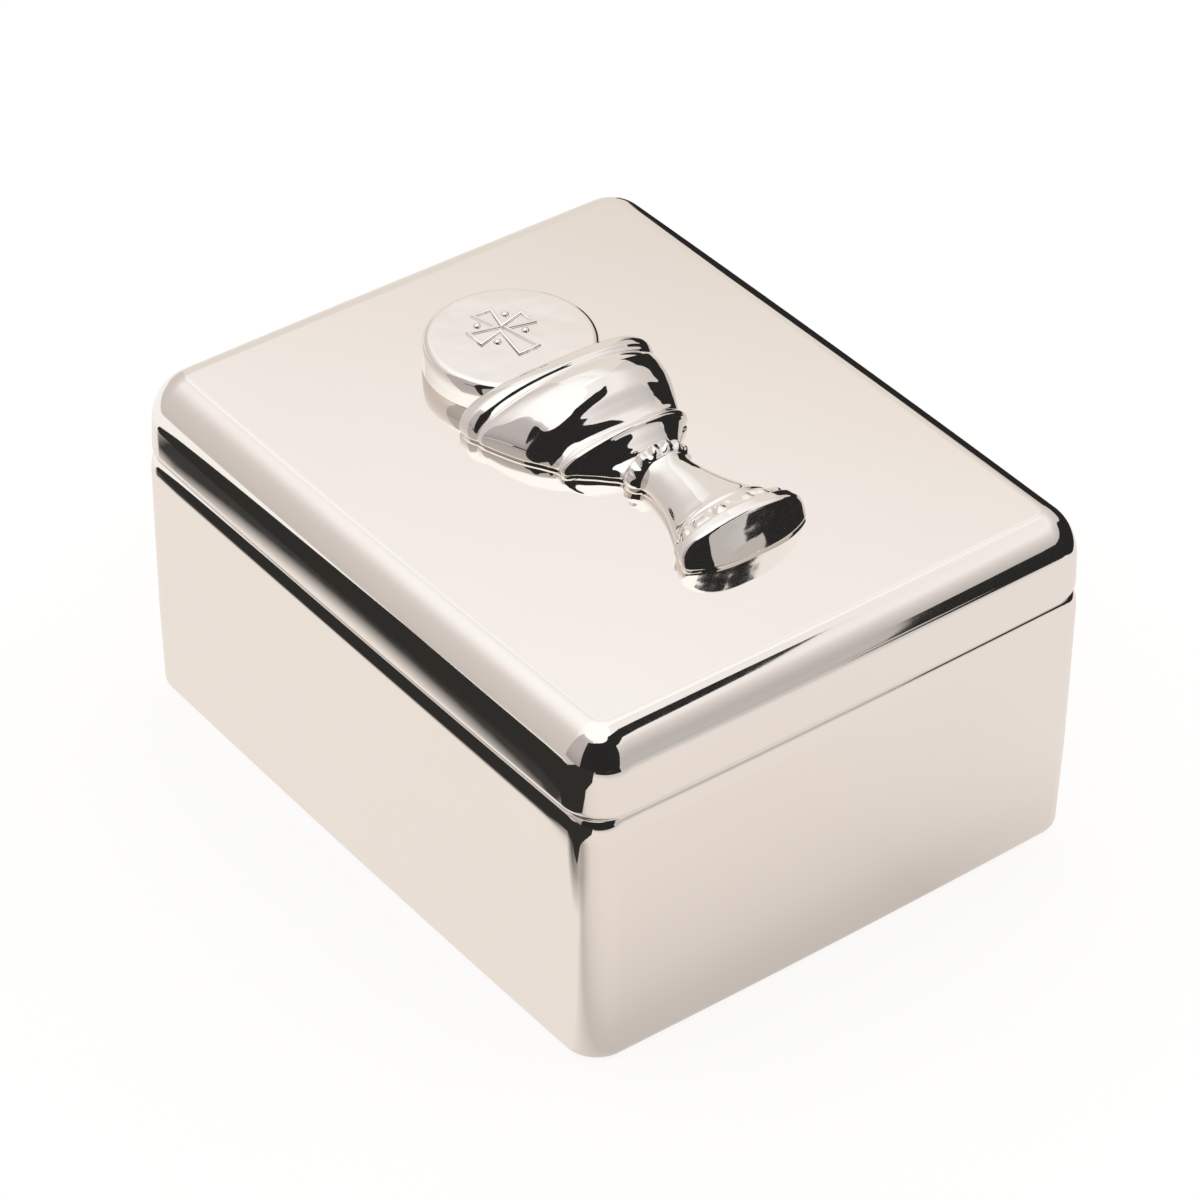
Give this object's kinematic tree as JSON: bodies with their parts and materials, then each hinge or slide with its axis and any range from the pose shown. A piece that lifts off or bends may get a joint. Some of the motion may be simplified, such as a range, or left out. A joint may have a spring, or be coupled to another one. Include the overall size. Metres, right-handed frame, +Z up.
{
  "type": "rosary box",
  "caption": "Small plated metal keepsake box with a hinged lid, a velvet lining and a chalice relief lying on the lid.",
  "frame": {"origin": "middle of the felt under the base, on the surface that the box stands on", "axes": "+X to the right, +Y to the back where the hinge is, +Z up; the chalice's foot points to the front"},
  "size_m": [0.0614, 0.0798, 0.0446],
  "materials": {
    "plated_metal": "polished",
    "plated_casting": "polished",
    "plated_hinge": "polished",
    "spring_steel": "satin",
    "velvet": "matte",
    "felt": "matte",
    "card": "matte"
  },
  "bodies": {
    "base": {"base_shell": "plated_metal", "underside_felt": "felt", "floor_card": "card", "floor_pad": "velvet", "front_wall_card": "card", "back_wall_card": "card", "left_wall_card": "card", "right_wall_card": "card", "front_wall_velvet": "velvet", "back_wall_velvet": "velvet", "left_wall_velvet": "velvet", "right_wall_velvet": "velvet", "hinge_leaf_base": "plated_hinge", "hinge_pin": "spring_steel"},
    "lid": {"lid_shell": "plated_metal", "lid_card": "card", "lid_pad": "velvet", "hinge_leaf_lid": "plated_hinge", "chalice_emblem": "plated_casting", "emblem_clips": "spring_steel"}
  },
  "joints": [
    {"name": "lid_hinge", "type": "hinge", "parent": "base", "child": "lid", "pos_m": [0, 0.0391, 0.0295], "axis": [-1, 0, 0], "range_deg": [0, 100]}
  ]
}
